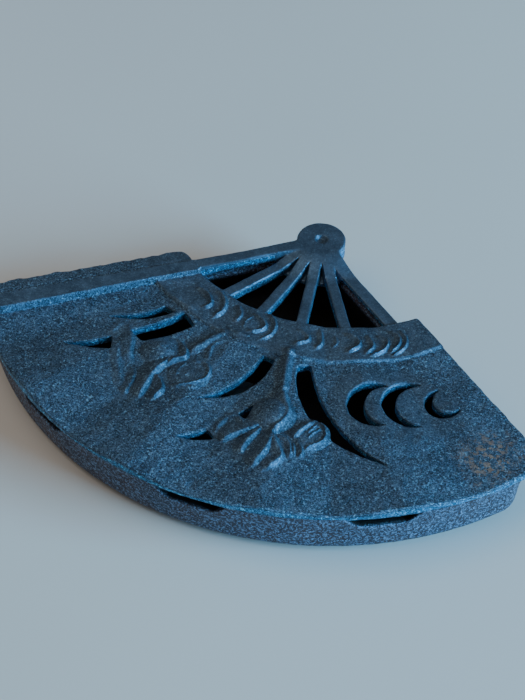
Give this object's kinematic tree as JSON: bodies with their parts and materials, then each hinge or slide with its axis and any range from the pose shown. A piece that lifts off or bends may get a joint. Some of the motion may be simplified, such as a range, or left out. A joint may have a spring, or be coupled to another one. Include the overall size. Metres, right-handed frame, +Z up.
{
  "type": "fan-shaped mosquito coil burner",
  "caption": "Shallow cast-iron tray shaped like an open folding fan, with a pierced lift-off lid in iris and water relief and a small sheet-steel coil stand inside.",
  "frame": {"origin": "on the table, under the middle of the bounding box", "axes": "+Z up; the fan opens towards -Y with its pivot boss towards +Y; +X is to the right as seen from the outer arc"},
  "size_m": [0.2516, 0.1606, 0.033],
  "materials": {
    "lid_iron": "blackened, rough sand-cast with smooth sticks",
    "tray_iron": "blackened, rough sand-cast",
    "stand_steel": "plain, heat-dulled"
  },
  "bodies": {
    "tray": {"tray": "tray_iron", "coil_stand": "stand_steel"},
    "lid": {"fan_lid": "lid_iron"}
  },
  "joints": [
    {"name": "lid_lift", "type": "slide", "parent": "tray", "child": "lid", "axis": [0, 0, 1], "range_m": [0, 0.06]}
  ]
}
